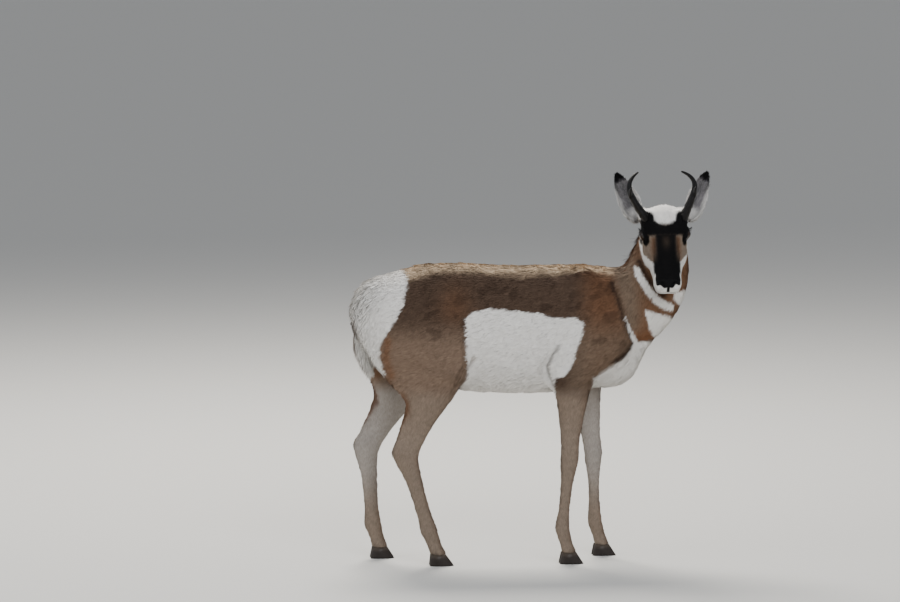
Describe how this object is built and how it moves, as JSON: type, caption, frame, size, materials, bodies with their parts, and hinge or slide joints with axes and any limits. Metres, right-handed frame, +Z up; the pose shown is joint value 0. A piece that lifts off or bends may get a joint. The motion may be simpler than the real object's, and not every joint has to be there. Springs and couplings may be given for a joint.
{
  "type": "pronghorn",
  "caption": "Life-size still model of a standing young pronghorn buck, its head turned to its right, with short hooked horns.",
  "frame": {"origin": "on the floor under the middle of the model's box", "axes": "+X towards the animal's chest, +Y to its left, +Z up"},
  "size_m": [1.0594, 0.3528, 1.1623],
  "materials": {
    "coat": "short dense hair, tan above and white below",
    "ear_skin": "thin haired skin, pale inside with a black rim",
    "horn": "black horn sheath, rough below and smooth at the tip",
    "hoof": "dark hoof horn, satin",
    "eye": "wet, near black"
  },
  "bodies": {
    "root": {"torso": "coat", "tail": "coat", "neck": "coat", "head": "coat", "leg_front_left": "coat", "hoof_front_left_outer": "hoof", "hoof_front_left_inner": "hoof", "leg_hind_left": "coat", "hoof_hind_left_outer": "hoof", "hoof_hind_left_inner": "hoof", "horn_left": "horn", "ear_left": "ear_skin", "eye_left": "eye", "leg_front_right": "coat", "hoof_front_right_outer": "hoof", "hoof_front_right_inner": "hoof", "leg_hind_right": "coat", "hoof_hind_right_outer": "hoof", "hoof_hind_right_inner": "hoof", "horn_right": "horn", "ear_right": "ear_skin", "eye_right": "eye"}
  },
  "joints": []
}
